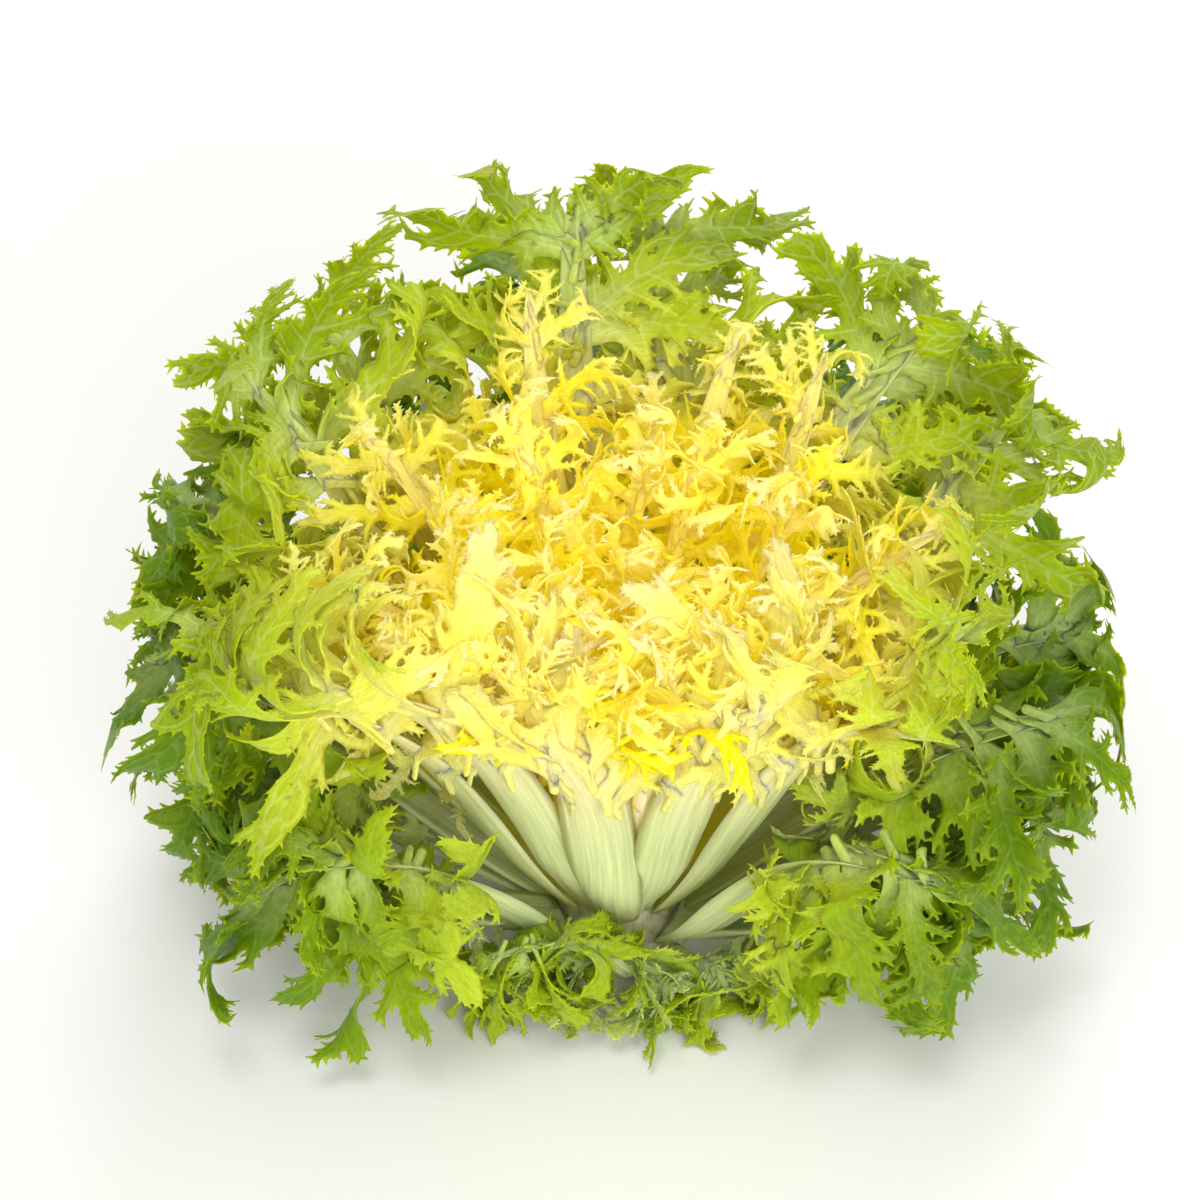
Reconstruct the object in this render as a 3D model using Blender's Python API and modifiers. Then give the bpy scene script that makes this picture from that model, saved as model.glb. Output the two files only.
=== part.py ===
"""A head of curly endive: a cone-shaped stem core, cut flat at the foot, with rings of leaves round it.

Units are metres, +Z is up, and the origin is the centre of the cut face that the head stands on.
-Y is the open front of the head, where the leaves are short and low, and +Y its tall back.
Every leaf lies on its own shell, a surface turned round the stem's axis.
The shells are nested like the jets of a fountain, so no two leaves meet.
"""

import math
from dataclasses import dataclass

import bmesh
import bpy
import numpy as np
from mathutils import Vector

MM = 0.001

# The stem core, from the cut face to the growing tip.
CUT_RADIUS = 21.5 * MM
CORE_FOOT_RADIUS = 24 * MM
CORE_FOOT_HEIGHT = 9 * MM
CORE_TIP_RADIUS = 2.2 * MM
CORE_TIP_HEIGHT = 46 * MM
CORE_SHOULDER = 3 * MM
CORE_CAP_HEIGHT = 1.2 * MM
CORE_CAP_SHOULDER = (0.7, 0.7 * MM)
CORE_STEPS = 32
SCREW_MERGE = 0.01 * MM
LEAF_STANDOFF = 2.3 * MM

# The shells' profiles, outermost first: how deep the shell lies from 0 outside to 1 in the heart, the angle
# at which its leaves leave the core and how long they hold it, where their tips are and how they arrive.
SHELLS = (
    # depth, launch angle, launch length, tip radius, tip height, arrival angle, arrival length
    (0.00, 8, 52 * MM, 128 * MM, 2 * MM, -40, 40 * MM),
    (0.12, 24, 62 * MM, 152 * MM, 58 * MM, -16, 50 * MM),
    (0.28, 42, 74 * MM, 150 * MM, 122 * MM, 2, 46 * MM),
    (0.45, 56, 78 * MM, 120 * MM, 148 * MM, 6, 42 * MM),
    (0.65, 68, 70 * MM, 82 * MM, 158 * MM, 14, 36 * MM),
    (0.82, 76, 58 * MM, 48 * MM, 158 * MM, 34, 28 * MM),
    (1.00, 84, 46 * MM, 11 * MM, 150 * MM, 85, 26 * MM),
)

# The head opens to the front: it is taller at the back, its front is pulled in, and the whole of it nods
# forward above the core.
BACK_RAISE = 0.62
RAISE_RADIUS = 150 * MM
NOD = 0.12
NOD_START = 44 * MM
NOD_ONSET = 30 * MM
FRONT_PULL = 0.86
PULL_START = 26 * MM
PULL_ONSET = 10 * MM

# Each leaf is a grid of quads, bent onto its shell and thickened.
LEAF_ROWS = 8
LEAF_COLUMNS = 4

# The outline of a leaf from foot to tip, as places along it and the half widths there: first shares of the
# rib's, then shares of the blade's.
RIB_OUTLINE = ((0.16, 1.0), (0.34, 1.15))
BLADE_OUTLINE = ((0.55, 0.75), (0.78, 1.0), (0.92, 0.72), (1.0, 0.3))
FLESH_TAPER = 1.2
FLESH_EDGE_LOSS = 0.75
GOLDEN = 0.618034


@dataclass(frozen=True)
class Size:
    """How large the leaves of one ring are, and their colour."""

    ring: str
    foot_half: float
    rib_half: float
    blade_half: float
    rib_thick: float
    blade_thick: float
    colour: tuple


SKIRT = Size("skirt_leaf", 4.4 * MM, 7.5 * MM, 26 * MM, 4.2 * MM, 1.5 * MM, (0.16, 0.34, 0.03))
OUTER = Size("outer_leaf", 4.2 * MM, 8.0 * MM, 29 * MM, 4.2 * MM, 1.5 * MM, (0.22, 0.42, 0.04))
MIDDLE = Size("middle_leaf", 3.4 * MM, 7.0 * MM, 25 * MM, 3.8 * MM, 1.4 * MM, (0.50, 0.62, 0.12))
INNER = Size("inner_leaf", 3.0 * MM, 5.4 * MM, 19 * MM, 2.8 * MM, 1.3 * MM, (0.80, 0.72, 0.14))
HEART = Size("heart_leaf", 2.2 * MM, 3.4 * MM, 12 * MM, 2.0 * MM, 1.2 * MM, (0.90, 0.72, 0.10))
BUD = Size("bud_leaf", 1.5 * MM, 2.2 * MM, 4.8 * MM, 1.6 * MM, 1.1 * MM, (0.95, 0.70, 0.06))


@dataclass(frozen=True)
class Leaf:
    """One leaf: its azimuth in degrees, its shell's depth, its share of the shell's length, and its turn."""

    azimuth: float
    depth: float
    reach: float
    sweep: float


# The outermost leaves lie lowest: short ones at the front, long drooping ones at the sides and the back.
SKIRT_LEAVES = (
    Leaf(-84, 0.060, 0.66, -46),
    Leaf(-126, 0.000, 0.46, -6),
    Leaf(-58, 0.000, 0.46, 8),
    Leaf(-156, 0.086, 0.96, -8),
    Leaf(172, 0.100, 1.01, -6),
    Leaf(130, 0.020, 1.00, 8),
    Leaf(88, 0.000, 1.00, -6),
    Leaf(46, 0.015, 1.00, 6),
    Leaf(3, 0.098, 1.00, -6),
    Leaf(-28, 0.076, 0.96, 10),
)

# The next green leaves stand at the sides and the back, and leave the front open.
OUTER_LEAVES = (
    Leaf(-141, 0.165, 0.95, -9),
    Leaf(178, 0.200, 1.00, -5),
    Leaf(150, 0.235, 1.02, 7),
    Leaf(121, 0.185, 0.98, -6),
    Leaf(95, 0.225, 1.03, 5),
    Leaf(69, 0.180, 1.00, -6),
    Leaf(42, 0.230, 1.01, 8),
    Leaf(15, 0.190, 1.00, -5),
    Leaf(-12, 0.225, 0.99, 6),
    Leaf(-40, 0.165, 0.96, 10),
)

# The pale leaves whose ribs show in the open front come first.
MIDDLE_LEAVES = (
    Leaf(-97, 0.370, 0.97, -15),
    Leaf(-128, 0.435, 1.03, -26),
    Leaf(-64, 0.430, 0.95, 12),
    Leaf(-154, 0.370, 1.00, -8),
    Leaf(-178, 0.340, 0.99, 6),
    Leaf(157, 0.410, 1.02, -7),
    Leaf(130, 0.340, 0.99, 5),
    Leaf(103, 0.410, 1.00, -6),
    Leaf(76, 0.340, 0.97, 8),
    Leaf(49, 0.412, 1.02, -5),
    Leaf(21, 0.345, 0.99, 6),
    Leaf(-8, 0.425, 1.00, -7),
    Leaf(-36, 0.370, 0.98, 5),
)


def even_ring(count, first_azimuth, depth, depth_step, reach, sweep):
    """Evenly turned leaves whose depth, reach and sweep wander by the golden ratio, so neighbours differ."""
    ring = []
    for number in range(count):
        wander = (number * GOLDEN + 0.3) % 1.0
        slow = (number * GOLDEN * 2) % 1.0
        turn = first_azimuth + 360 * number / count
        ring.append(Leaf(turn, depth + depth_step * wander, reach * (0.95 + 0.09 * slow), sweep * (slow - 0.5)))
    return ring


RINGS = (
    (SKIRT, SKIRT_LEAVES),
    (OUTER, OUTER_LEAVES),
    (MIDDLE, MIDDLE_LEAVES),
    (INNER, even_ring(10, -107, 0.54, 0.070, 0.97, 24)),
    (HEART, even_ring(10, -90, 0.74, 0.060, 0.96, 26)),
    (BUD, even_ring(5, -60, 0.92, 0.050, 0.93, 20)),
)


def shell_values(depth):
    """The profile values of the shell at this depth, between the two listed ones next to it."""
    table = np.array(SHELLS)
    return [float(np.interp(depth, table[:, 0], table[:, k])) for k in range(1, table.shape[1])]


def core_point(depth):
    """Radius and height of the place on the core's cone where a leaf of this depth grows."""
    radius = CORE_FOOT_RADIUS + (CORE_TIP_RADIUS - CORE_FOOT_RADIUS) * depth
    height = CORE_FOOT_HEIGHT + (CORE_TIP_HEIGHT - CORE_FOOT_HEIGHT) * depth
    slope = math.hypot(CORE_FOOT_RADIUS - CORE_TIP_RADIUS, CORE_TIP_HEIGHT - CORE_FOOT_HEIGHT)
    out = (CORE_TIP_HEIGHT - CORE_FOOT_HEIGHT) / slope
    up = (CORE_FOOT_RADIUS - CORE_TIP_RADIUS) / slope
    return radius + LEAF_STANDOFF * out, height + LEAF_STANDOFF * up


def profile_point(depth, along):
    """Radius and height on a shell, from 0 at the core to 1 at the tips: a cubic Bezier curve."""
    launch, launch_length, tip_radius, tip_height, arrival, arrival_length = shell_values(depth)
    start = np.array(core_point(depth))
    tip = np.array((tip_radius, tip_height))
    leave = start + launch_length * np.array((math.cos(math.radians(launch)), math.sin(math.radians(launch))))
    arrive = tip - arrival_length * np.array((math.cos(math.radians(arrival)), math.sin(math.radians(arrival))))
    rest = 1 - along
    return rest**3 * start + 3 * rest**2 * along * leave + 3 * rest * along**2 * arrive + along**3 * tip


def grown(value, start, onset):
    """How far a value is past a start, with a gradual onset."""
    past = max(value - start, 0)
    return past * past / (past + onset)


def leaned(radius, turn, height):
    """The point at this radius, azimuth and height, after the head's asymmetry: a smooth one-to-one map."""
    frontness = ((1 - math.sin(turn)) / 2) ** 3
    backness = ((1 + math.sin(turn)) / 2) ** 2
    pulled = radius - FRONT_PULL * frontness * grown(radius, PULL_START, PULL_ONSET)
    raised = height * (1 + BACK_RAISE * backness * (pulled / RAISE_RADIUS) ** 2)
    back = pulled * math.sin(turn) - NOD * grown(raised, NOD_START, NOD_ONSET)
    return Vector((pulled * math.cos(turn), back, raised))


def half_width(size, along):
    """Half the leaf's width: a narrow foot, a broad fleshy rib, then the blade up to a rounded tip."""
    places = [0.0] + [place for place, _ in RIB_OUTLINE + BLADE_OUTLINE]
    widths = [size.foot_half]
    widths += [size.rib_half * share for _, share in RIB_OUTLINE]
    widths += [size.blade_half * share for _, share in BLADE_OUTLINE]
    return float(np.interp(along, places, widths))


def thickness_share(size, along, across):
    """How thick the leaf is here, as a share of its rib: fleshy in the rib, thin in the blade."""
    thin = size.blade_thick / size.rib_thick
    fleshy = (1 - along) ** FLESH_TAPER * (1 - FLESH_EDGE_LOSS * across**2)
    return thin + (1 - thin) * fleshy


def leaf_point(size, leaf, along, across):
    """A point of the leaf's middle surface. across runs from -1 to 1."""
    radius, height = profile_point(leaf.depth, along * leaf.reach)
    turned = math.radians(leaf.azimuth + leaf.sweep * along**2)
    return leaned(radius, turned + across * half_width(size, along) / radius, height)


def material(name, colour, roughness):
    made = bpy.data.materials.new(name)
    made.use_nodes = True
    shader = made.node_tree.nodes["Principled BSDF"]
    shader.inputs["Base Color"].default_value = (*colour, 1)
    shader.inputs["Roughness"].default_value = roughness
    shader.inputs["Metallic"].default_value = 0
    return made


def add_leaf(name, size, leaf, finish, parts):
    """A grid bent onto the leaf's shell, made solid by a Solidify that is thickest in the rib."""
    work = bmesh.new()
    bmesh.ops.create_grid(work, x_segments=LEAF_COLUMNS, y_segments=LEAF_ROWS, size=1)
    shares = []
    for vertex in work.verts:
        across, along = vertex.co.x, (vertex.co.y + 1) / 2
        vertex.co = leaf_point(size, leaf, along, across)
        shares.append(thickness_share(size, along, across))
    mesh = bpy.data.meshes.new(name)
    work.to_mesh(mesh)
    work.free()
    mesh.materials.append(finish)
    mesh.shade_smooth()
    made = bpy.data.objects.new(name, mesh)
    parts.objects.link(made)
    group = made.vertex_groups.new(name="thickness")
    for index, share in enumerate(shares):
        group.add([index], share, "REPLACE")
    solidify = made.modifiers.new("flesh", "SOLIDIFY")
    solidify.thickness = size.rib_thick
    solidify.offset = 0
    solidify.vertex_group = group.name
    return made


def add_core(finish, parts):
    """The stem core, turned: a cut foot with a rounded shoulder and a cone up to the growing tip."""
    cap_share, cap_rise = CORE_CAP_SHOULDER
    outline = (
        (0.0, CORE_TIP_HEIGHT + CORE_CAP_HEIGHT),
        (CORE_TIP_RADIUS * cap_share, CORE_TIP_HEIGHT + cap_rise),
        (CORE_TIP_RADIUS, CORE_TIP_HEIGHT),
        (CORE_FOOT_RADIUS, CORE_FOOT_HEIGHT),
        (CORE_FOOT_RADIUS, CORE_FOOT_HEIGHT - CORE_SHOULDER),
        (CUT_RADIUS, 0.0),
        (0.0, 0.0),
    )
    mesh = bpy.data.meshes.new("stem_core")
    mesh.from_pydata([(radius, 0, height) for radius, height in outline],
                     [(i, i + 1) for i in range(len(outline) - 1)], [])
    mesh.materials.append(finish)
    made = bpy.data.objects.new("stem_core", mesh)
    parts.objects.link(made)
    turn = made.modifiers.new("turn", "SCREW")
    turn.steps = CORE_STEPS
    turn.render_steps = CORE_STEPS
    turn.use_merge_vertices = True
    turn.merge_threshold = SCREW_MERGE
    turn.use_smooth_shade = True
    return made


def main():
    for old in list(bpy.data.objects):
        bpy.data.objects.remove(old)
    parts = bpy.data.collections.new("curly_endive_head")
    bpy.context.scene.collection.children.link(parts)
    add_core(material("stem", (0.80, 0.80, 0.62), 0.55), parts)
    for size, leaves in RINGS:
        finish = material(size.ring, size.colour, 0.45)
        for number, leaf in enumerate(leaves, start=1):
            add_leaf(f"{size.ring}_{number:02d}", size, leaf, finish, parts)


main()
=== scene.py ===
"""The looks of a head of curly endive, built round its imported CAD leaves.

Each CAD leaf is a plain plate. Here a real leaf stands for it, of the same place, length and direction: a
fleshy rib, and lobes along both sides of it. A lobe starts as a flat form, drawn with an axis, the cuts along
both sides of that and small teeth. It is then bent along its own curl and given its thickness.
"""

import math
from dataclasses import dataclass, replace

import bpy
import numpy as np
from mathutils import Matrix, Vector
from mathutils.geometry import delaunay_2d_cdt


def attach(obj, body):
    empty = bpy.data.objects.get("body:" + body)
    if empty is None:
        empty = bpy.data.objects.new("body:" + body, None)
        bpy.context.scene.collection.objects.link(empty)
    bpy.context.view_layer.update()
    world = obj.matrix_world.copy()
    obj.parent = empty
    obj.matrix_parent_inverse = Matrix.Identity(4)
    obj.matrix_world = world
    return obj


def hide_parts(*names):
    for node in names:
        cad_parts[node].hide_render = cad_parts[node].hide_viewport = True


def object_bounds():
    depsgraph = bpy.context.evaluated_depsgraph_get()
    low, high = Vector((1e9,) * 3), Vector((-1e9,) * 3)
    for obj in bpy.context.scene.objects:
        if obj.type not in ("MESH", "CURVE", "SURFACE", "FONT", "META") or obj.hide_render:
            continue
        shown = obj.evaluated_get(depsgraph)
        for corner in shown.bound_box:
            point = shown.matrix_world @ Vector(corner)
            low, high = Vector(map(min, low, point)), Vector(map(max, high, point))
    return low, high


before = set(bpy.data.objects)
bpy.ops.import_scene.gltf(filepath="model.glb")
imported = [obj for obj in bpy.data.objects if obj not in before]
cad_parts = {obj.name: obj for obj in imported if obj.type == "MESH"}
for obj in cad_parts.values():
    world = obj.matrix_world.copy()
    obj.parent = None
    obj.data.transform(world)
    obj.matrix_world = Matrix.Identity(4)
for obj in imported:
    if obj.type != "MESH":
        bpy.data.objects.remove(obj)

MM = 0.001
TINY = 1e-12
CAD_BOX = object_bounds()

# ---------------------------------------------------------------- colours, linear RGB

VEIN_GREEN = np.array((0.45, 0.58, 0.14))
# GOLD is partly painted light: a glow deep in the head, where the leaves lie in shade.
GOLD = np.array((0.97, 0.83, 0.001))
YELLOW = np.array((0.90, 0.745, 0.08))
CREAM = np.array((0.86, 0.775, 0.49))
PALE_LIME = np.array((0.74, 0.77, 0.14))
LIME = np.array((0.47, 0.58, 0.025))
RIB_WHITE = np.array((0.63, 0.71, 0.35))
RIB_GREEN = np.array((0.56, 0.68, 0.26))
LEAF_GREEN = np.array((0.300, 0.420, 0.003))
DARK_GREEN = np.array((0.110, 0.220, 0.001))

# How blades, tips and ribs change colour with greening: 0 in the blanched heart, and 1 and over in the open.
GREENING = (0.0, 0.35, 0.65, 1.0, 1.5)
BLADE_COLOURS = np.array((YELLOW, (YELLOW + PALE_LIME) / 2, LIME, LEAF_GREEN, DARK_GREEN))
# The cream of the blanched tips is partly their own paler colour and partly a painted highlight of their lit
# faces.
TIP_COLOURS = np.array((0.85 * CREAM + 0.15 * YELLOW, PALE_LIME, LIME,
                        (LEAF_GREEN + DARK_GREEN) / 2, DARK_GREEN))
RIB_COLOURS = np.array((CREAM, (CREAM + RIB_WHITE) / 2, RIB_WHITE, RIB_GREEN, RIB_GREEN))

# Greening grows with the distance from the head's axis, and HEIGHT_SHARE of the height over GREEN_HEIGHT
# counts as distance too.
GREEN_FROM = 80 * MM
GREEN_TO = 136 * MM
GREEN_HEIGHT = 130 * MM
HEIGHT_SHARE = 0.4

# The lobes low on an open leaf are greener, by up to LOW_GREENING at its foot.
LOW_GREENING = 0.35
LOW_PART = 0.7

# An open leaf is rib white at its foot, and takes its own colours over RISING from RISEN_FROM up.
RISEN_FROM = 0.3
RISING = 0.3
LEAST_BLADE = 0.4
ENDS_SLOPE = 1.3
ENDS_START = -0.3

# The blades deep in the head are painted golden. This is partly their own blanched colour and partly painted
# light:
# a glow that stands for light passed through the leaves above and lifts their shade. That fades out along the
# leaf over GOLD_FADE up to GOLD_TOP, sooner at the lobes' tips, and goes as the leaf greens. An open leaf
# takes only
# OPEN_GOLD of it.
GOLD_TOP = 1.12
GOLD_TIP_LOSS = 0.25
GOLD_FADE = 0.35
GOLD_GREEN_LOSS = 2
OPEN_GOLD = 0.3


# ---------------------------------------------------------------- what the leaves of each ring are like

@dataclass(frozen=True)
class Shape:
    """The flat form of a lobe: lengths in millimetres, angles in radians."""

    length: float
    half: float
    web: float
    cuts: int
    cut_length: float
    cut_half: float
    tooth_length: float
    tooth_half: float
    blend: float


@dataclass(frozen=True)
class Growth:
    """How the lobes stand along a rib and how they curl: angles in radians."""

    per_side: int
    first: float
    spread: tuple
    lift: float
    curl: float
    turn: float
    twist: float
    frizz: float
    droop: float
    inward: float
    envelope: tuple


@dataclass(frozen=True)
class Style:
    """The leaves of one ring."""

    slot: str
    shape: Shape
    growth: Growth
    rib_half: float
    rib_thick: float
    blade_thick: float
    exposure: float


GREEN_SHAPE = Shape(length=47, half=3.7, web=8.5, cuts=5, cut_length=16.5, cut_half=1.8,
                    tooth_length=4.0, tooth_half=0.95, blend=0.9)
PALE_SHAPE = Shape(length=52, half=3.3, web=8.0, cuts=5, cut_length=17.0, cut_half=1.5,
                   tooth_length=3.4, tooth_half=0.8, blend=0.9)
INNER_SHAPE = Shape(length=44, half=2.5, web=6.5, cuts=5, cut_length=14.0, cut_half=1.05,
                    tooth_length=3.2, tooth_half=0.65, blend=0.65)
HEART_SHAPE = Shape(length=35, half=1.9, web=5.0, cuts=4, cut_length=11.5, cut_half=0.8,
                    tooth_length=2.8, tooth_half=0.55, blend=0.5)

GREEN_GROWTH = Growth(per_side=13, first=0.16, spread=(1.30, 0.85), lift=0.45, curl=1.8, turn=0.7,
                      twist=1.3, frizz=1.7, droop=0.20, inward=0.0,
                      envelope=(0.20, 0.38, 0.70, 1.00, 1.10, 1.10, 0.95))
PALE_GROWTH = Growth(per_side=11, first=0.22, spread=(1.25, 0.50), lift=0.45, curl=1.7, turn=0.7,
                     twist=1.2, frizz=1.4, droop=0.10, inward=0.05,
                     envelope=(0.18, 0.35, 0.65, 0.95, 1.00, 0.95, 0.75))
INNER_GROWTH = Growth(per_side=11, first=0.30, spread=(1.25, 0.45), lift=0.50, curl=2.3, turn=0.9,
                      twist=1.4, frizz=1.5, droop=0.0, inward=0.10,
                      envelope=(0.25, 0.45, 0.80, 0.95, 0.80, 0.60, 0.50))
HEART_GROWTH = Growth(per_side=10, first=0.40, spread=(1.20, 0.40), lift=0.55, curl=2.8, turn=1.0,
                      twist=1.5, frizz=1.5, droop=0.0, inward=0.15,
                      envelope=(0.40, 0.70, 1.00, 1.00, 0.75))

SKIRT_STYLE = Style(slot="skirt_leaf", shape=GREEN_SHAPE, growth=replace(GREEN_GROWTH, inward=-0.3),
                    rib_half=8.0 * MM, rib_thick=4.0 * MM, blade_thick=0.7 * MM, exposure=0.9)
MIDDLE_STYLE = Style(slot="middle_leaf", shape=PALE_SHAPE, growth=PALE_GROWTH,
                     rib_half=8.0 * MM, rib_thick=3.6 * MM, blade_thick=0.7 * MM, exposure=0.2)
INNER_STYLE = Style(slot="inner_leaf", shape=INNER_SHAPE, growth=INNER_GROWTH,
                    rib_half=6.2 * MM, rib_thick=2.8 * MM, blade_thick=0.75 * MM, exposure=-0.2)
HEART_STYLE = Style(slot="heart_leaf", shape=HEART_SHAPE, growth=HEART_GROWTH,
                    rib_half=3.6 * MM, rib_thick=2.2 * MM, blade_thick=0.75 * MM, exposure=-1.0)
STYLES = {
    "skirt_leaf": SKIRT_STYLE,
    "outer_leaf": replace(SKIRT_STYLE, slot="outer_leaf", exposure=0.7),
    "middle_leaf": MIDDLE_STYLE,
    "inner_leaf": INNER_STYLE,
    "heart_leaf": HEART_STYLE,
    "bud_leaf": replace(HEART_STYLE, slot="bud_leaf", rib_half=2.4 * MM,
                        growth=replace(HEART_GROWTH, per_side=7)),
}

# The leaves in the open front show their ribs, broad, pale and forked into long arms.
OPEN_SHAPE = replace(PALE_SHAPE, length=58, half=5.2, web=9.0, cut_length=15.0, cut_half=1.8)
OPEN_GROWTH = Growth(per_side=6, first=0.46, spread=(0.80, 0.30), lift=0.25, curl=1.2, turn=0.6, twist=0.8,
                     frizz=1.0, droop=0.0, inward=0.25, envelope=(0.75, 0.95, 1.00, 1.00, 0.90, 0.80))
OPEN_STYLE = replace(MIDDLE_STYLE, shape=OPEN_SHAPE, growth=OPEN_GROWTH,
                     rib_half=10.5 * MM, rib_thick=3.0 * MM, exposure=0.0)
SIDE_STYLE = replace(OPEN_STYLE, growth=replace(OPEN_GROWTH, per_side=7), rib_half=10.0 * MM, exposure=0.1)
OPEN_OUTER_GROWTH = replace(GREEN_GROWTH, per_side=8, first=0.52, spread=(1.10, 0.60), inward=-0.5,
                            envelope=(0.70, 0.90, 0.95, 0.95, 0.90))
OPEN_OUTER_STYLE = replace(STYLES["outer_leaf"], growth=OPEN_OUTER_GROWTH, rib_half=13.0 * MM)

# The leaves of the raised back have the outer ones' green shape, with lobes that stand well out to the sides.
BACK_SHAPE = replace(GREEN_SHAPE, length=51, half=3.3, cuts=6, cut_half=1.6)
BACK_GROWTH = replace(GREEN_GROWTH, spread=(1.30, 1.15), frizz=2.1, inward=0.3)
BACK_STYLE = replace(MIDDLE_STYLE, shape=BACK_SHAPE, growth=BACK_GROWTH)

# The lowest leaves of the front have short lobes that hang to the ground.
LOW_GROWTH = replace(GREEN_GROWTH, droop=0.6, inward=-0.6, envelope=(0.45, 0.55, 0.60, 0.60, 0.60, 0.50))
SPECIAL_LEAVES = {
    **{f"middle_leaf_{number:02d}": OPEN_STYLE for number in (1, 2, 3)},
    **{f"middle_leaf_{number:02d}": SIDE_STYLE for number in (4, 13)},
    **{f"middle_leaf_{number:02d}": BACK_STYLE for number in range(6, 12)},
    **{f"outer_leaf_{number:02d}": OPEN_OUTER_STYLE for number in (1, 10)},
    **{f"skirt_leaf_{number:02d}": replace(SKIRT_STYLE, growth=LOW_GROWTH) for number in (1, 2, 3)},
}


# ---------------------------------------------------------------- vectors

def unit(vectors):
    return vectors / np.maximum(np.linalg.norm(vectors, axis=-1, keepdims=True), TINY)


def way(angle):
    """The flat direction at this angle from +X."""
    return np.array((math.cos(angle), math.sin(angle)))


def smooth_between(values, at):
    """Catmull-Rom interpolation of rows of values, at fractions from 0 to 1."""
    last = len(values) - 1
    padded = np.concatenate([[2 * values[0] - values[1]], values, [2 * values[-1] - values[-2]]])
    place = np.clip(at, 0, 1) * last
    cell = np.minimum(place.astype(int), last - 1)
    t = (place - cell)[:, None]
    a, b, c, d = (padded[cell + k] for k in range(4))
    return 0.5 * (2 * b + (c - a) * t + (2 * a - 5 * b + 4 * c - d) * t**2 + (3 * b - a - 3 * c + d) * t**3)


# ---------------------------------------------------------------- flat forms, in millimetres

TOOTH = -1
STROKE_TIP = 0.22
TOOTH_BLEND = 0.18

AXIS_STEP = 2.2
BLADE_PROFILE = (0.65, 0.95, 1.0, 0.85, 0.55, 0.0)
AXIS_TOOTH_CHANCE = 0.5
AXIS_TOOTH_REACH = (0.4, 0.9)
AXIS_TOOTH_LEAN = (0.7, 1.2)
WEB_ANGLE = 0.8
WEB_HALF = 1.5

CUT_PIECES = 4
CUT_ENVELOPE = (0.80, 1.0, 1.0, 0.85, 0.60)
CUT_ANGLES = (1.20, 0.60)
CUT_ANGLE_SPREAD = 0.12
CUT_FIRST = 0.05
CUT_SPAN = 0.87
CUT_STAGGER = 0.22
CUT_SCATTER = 0.14
CUT_LENGTHS = (0.75, 1.15)
CUT_BEND = 0.22
CUT_FORWARD_BEND = 0.10
CUT_TAPER = 0.6
TOOTH_CHANCE = 0.95
TOOTH_REACH = (0.5, 1.0)
TOOTH_LEAN = (0.65, 1.05)


def spaced(values, at):
    """The value at a fraction from 0 to 1 along evenly spaced values."""
    return np.interp(at, np.linspace(0, 1, len(values)), values)


def axis_strokes(shape, rng):
    """The form's axis, which tapers to its tip, with teeth along it, and the web that joins it to the rib."""
    strokes = []
    stations = np.linspace(0, 1, round(shape.length / AXIS_STEP) + 1)
    halves = shape.half * spaced(BLADE_PROFILE, stations) + STROKE_TIP
    for s, t, wide, narrow in zip(stations[:-1], stations[1:], halves[:-1], halves[1:]):
        strokes.append((s * shape.length, 0, t * shape.length, 0, wide, narrow, 0))
        for tooth_side in (-1, 1):
            if rng.random() < AXIS_TOOTH_CHANCE:
                reach = wide + shape.tooth_length * rng.uniform(*AXIS_TOOTH_REACH)
                tip = (s * shape.length, 0) + reach * way(tooth_side * rng.uniform(*AXIS_TOOTH_LEAN))
                strokes.append((s * shape.length, 0, *tip, shape.tooth_half, 0.0, TOOTH))
    along_rib = shape.web * way(-WEB_ANGLE)
    strokes.append((*-along_rib, *along_rib, WEB_HALF, WEB_HALF, 1))
    return strokes


def cut_strokes(shape, side, number, rng):
    """One cut, which leaves the axis to this side: a bent row of strokes that grow narrower, with teeth."""
    strokes = []
    share = (number + 0.5 + CUT_STAGGER * side + rng.uniform(-CUT_SCATTER, CUT_SCATTER)) / shape.cuts
    here = np.array(((CUT_FIRST + CUT_SPAN * share) * shape.length, 0.0))
    heading = side * (spaced(CUT_ANGLES, share) + rng.normal(0, CUT_ANGLE_SPREAD))
    length = shape.cut_length * spaced(CUT_ENVELOPE, share)
    step = length * rng.uniform(*CUT_LENGTHS) / CUT_PIECES
    bend = rng.normal(0, CUT_BEND) - side * CUT_FORWARD_BEND
    branch = 2 + number + (side + 1) * shape.cuts
    for piece in range(CUT_PIECES):
        there = here + step * way(heading)
        wide = shape.cut_half * (1 - piece / CUT_PIECES) ** CUT_TAPER + STROKE_TIP
        narrow = shape.cut_half * (1 - (piece + 1) / CUT_PIECES) ** CUT_TAPER + STROKE_TIP
        strokes.append((*here, *there, wide, narrow, branch))
        for tooth_side in (-1, 1):
            if piece and rng.random() < TOOTH_CHANCE:
                lean = heading + tooth_side * rng.uniform(*TOOTH_LEAN)
                tip = here + (wide + shape.tooth_length * rng.uniform(*TOOTH_REACH)) * way(lean)
                strokes.append((*here, *tip, shape.tooth_half, 0.0, TOOTH))
        here = there
        heading += bend
    return strokes


def strokes_of(shape, rng):
    """The strokes that draw a form: rows of start, end, half width at both, and branch number or TOOTH."""
    strokes = axis_strokes(shape, rng)
    for side in (-1, 1):
        for number in range(shape.cuts):
            strokes += cut_strokes(shape, side, number, rng)
    return np.array(strokes)


def from_strokes(points, strokes):
    """How far each point is from each stroke's middle line, and the stroke's half width beside it."""
    start, along = strokes[:, :2], strokes[:, 2:4] - strokes[:, :2]
    offset = points[:, None] - start
    share = np.clip((offset * along).sum(axis=-1) / (along**2).sum(axis=-1), 0, 1)
    away = np.linalg.norm(offset - share[..., None] * along, axis=-1)
    return away, strokes[:, 4] + (strokes[:, 5] - strokes[:, 4]) * share


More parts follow.
